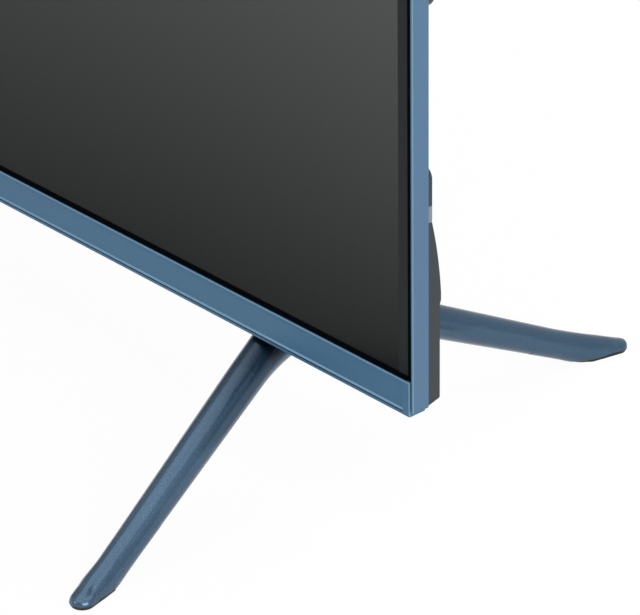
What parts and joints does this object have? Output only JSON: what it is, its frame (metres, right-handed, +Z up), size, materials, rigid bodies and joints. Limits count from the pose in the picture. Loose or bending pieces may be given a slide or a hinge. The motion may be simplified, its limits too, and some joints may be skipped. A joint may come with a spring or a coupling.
{
  "type": "flat screen tv",
  "caption": "Flat screen television with a slim blue frame, dark picture glass, a louvred rear housing with socket bays, and bowed legs on rubber pads.",
  "frame": {"origin": "on the floor, midway between the legs and in the plane of their bows", "axes": "+X to the right seen from the front, +Y to the back, +Z up"},
  "size_m": [1.23, 0.3308, 0.7765],
  "materials": {
    "blue_frame": "satin blue with a fine brushed grain",
    "picture_glass": "dark glass with a soft anti-glare coat",
    "black_foam": "soft foam",
    "black_plastic": "fine matt moulding",
    "white_sheet": "smooth film",
    "clear_guide": "clear acrylic",
    "white_board": "white solder mask",
    "pan_steel": "dark grey coated steel sheet",
    "green_board": "green solder mask",
    "amber_film": "polyimide film",
    "grey_pad": "fine light grey moulding",
    "plain_steel": "zinc plated",
    "dark_screw": "black coated",
    "cover_plastic": "dark grey moulding with a fine texture",
    "insert_steel": "turned, zinc plated",
    "leg_paint": "glossy blue-grey metallic paint",
    "pad_rubber": "soft matt rubber",
    "sink_aluminium": "extruded and sawn",
    "tan_board": "bare paper board",
    "component_plastic": "moulded and shrink-wrapped components",
    "can_steel": "tin plated sheet",
    "post_brass": "turned",
    "socket_plastic": "fine matt moulding",
    "speaker_plastic": "moulded box",
    "driver_cone": "paper cone with a rubber rim",
    "white_ribbon": "flat film cable",
    "lead_rubber": "sleeved wires",
    "pod_plastic": "glossy black moulding",
    "window_plastic": "dark red filter plastic",
    "key_plastic": "satin grey key"
  },
  "bodies": {
    "set": {"chin_panel": "blue_frame", "side_frame_right": "blue_frame", "side_frame_left": "blue_frame", "top_frame": "blue_frame", "screen_panel": "picture_glass", "glass_seal": "black_foam", "panel_tape": "black_foam", "mid_frame": "black_plastic", "diffuser_sheets": "white_sheet", "light_guide": "clear_guide", "reflector_sheet": "white_sheet", "led_bar": "white_board", "backlight_pan": "pan_steel", "source_boards": "green_board", "column_films": "amber_film", "edge_pads": "grey_pad", "corner_plates": "plain_steel", "frame_screws": "dark_screw", "rear_cover": "cover_plastic", "cover_foot_right": "cover_plastic", "cover_foot_left": "cover_plastic", "socket_tray": "cover_plastic", "mains_tray": "cover_plastic", "cover_shoulder_right": "cover_plastic", "cover_shoulder_left": "cover_plastic", "cover_screws": "dark_screw", "wall_mount_inserts": "insert_steel", "leg_right": "leg_paint", "leg_left": "leg_paint", "leg_pads": "pad_rubber", "leg_screws": "dark_screw", "leg_brackets": "plain_steel", "main_board": "green_board", "main_heatsink": "sink_aluminium", "power_board": "tan_board", "power_components": "component_plastic", "tcon_board": "green_board", "wifi_module": "can_steel", "board_posts": "post_brass", "board_screws": "plain_steel", "hdmi_sockets": "can_steel", "usb_sockets": "can_steel", "audio_jack": "socket_plastic", "lan_socket": "can_steel", "optical_socket": "socket_plastic", "aerial_socket": "can_steel", "mains_inlet": "socket_plastic", "speaker_right": "speaker_plastic", "speaker_left": "speaker_plastic", "speaker_drivers": "driver_cone", "speaker_grommets": "pad_rubber", "display_cable": "white_ribbon", "panel_cables": "white_ribbon", "power_harness": "lead_rubber", "led_lead": "lead_rubber", "speaker_leads": "lead_rubber", "sensor_pod": "pod_plastic", "ir_window": "window_plastic", "sensor_board": "green_board"},
    "power_key": {"power_key": "key_plastic"}
  },
  "joints": [
    {"name": "power_key_press", "type": "slide", "parent": "set", "child": "power_key", "axis": [0, 0, 1], "range_m": [0, 0.0008], "stiffness_N_per_m": 1500, "springref_m": -0.0002}
  ]
}
